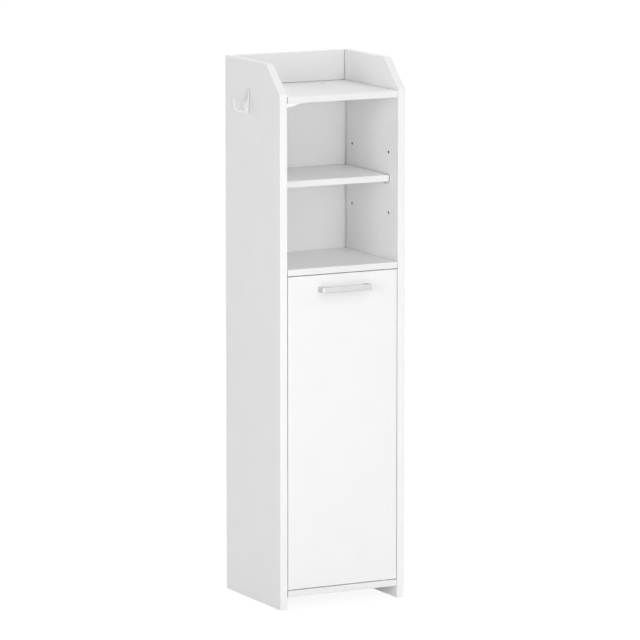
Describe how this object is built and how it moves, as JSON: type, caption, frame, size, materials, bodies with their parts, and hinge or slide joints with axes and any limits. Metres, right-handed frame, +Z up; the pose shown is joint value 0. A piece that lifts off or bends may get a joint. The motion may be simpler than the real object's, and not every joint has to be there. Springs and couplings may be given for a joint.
{
  "type": "narrow bathroom cabinet",
  "caption": "Tall narrow floor-standing bathroom cabinet: open shelves under a gallery top with slanted front corners, a cupboard with a hinged door and bow handle below, and a towel hook.",
  "frame": {"origin": "on the floor, under the middle of the whole box, hook and handle included", "axes": "+Z up, the front faces -Y, +X to the right as seen from the front"},
  "size_m": [0.29, 0.243, 1],
  "materials": {
    "white_board": "white melamine-faced particle board, smooth satin",
    "white_hardboard": "white-faced hardboard, smooth satin",
    "beech_dowel": "bare turned beech",
    "satin_metal": "satin, pale silver",
    "white_metal": "white powder coat, smooth",
    "white_plastic": "white moulded plastic, low gloss",
    "nylon": "natural nylon",
    "magnet": "dark sintered magnet",
    "cam_alloy": "die-cast zinc, dull grey",
    "zinc_steel": "zinc-plated steel"
  },
  "bodies": {
    "cabinet": {"left_side_panel": "white_board", "right_side_panel": "white_board", "top_shelf": "white_board", "fixed_shelf": "white_board", "base_panel": "white_board", "middle_shelf": "white_board", "inner_shelf": "white_board", "gallery_rail": "white_board", "back_panel": "white_hardboard", "middle_shelf_pins": "zinc_steel", "inner_shelf_pins": "zinc_steel", "cam_locks": "cam_alloy", "cam_bolts": "zinc_steel", "wood_dowels": "beech_dowel", "rail_screws": "zinc_steel", "back_panel_screws": "zinc_steel", "towel_hook": "white_metal", "hook_screws": "white_metal", "corner_brace": "white_plastic", "brace_screws": "zinc_steel", "catch_housing": "white_plastic", "catch_magnet": "magnet", "catch_screws": "zinc_steel", "upper_pivot_bush": "nylon", "lower_pivot_bush": "nylon"},
    "door": {"door_panel": "white_board", "upper_pivot_pin": "zinc_steel", "lower_pivot_pin": "zinc_steel", "handle": "satin_metal", "handle_screws": "zinc_steel", "strike_plate": "zinc_steel", "strike_screws": "zinc_steel"}
  },
  "joints": [
    {"name": "door_hinge", "type": "hinge", "parent": "cabinet", "child": "door", "pos_m": [0.1065, -0.093, 0.326], "axis": [0, 0, 1], "range_deg": [0, 135]}
  ]
}
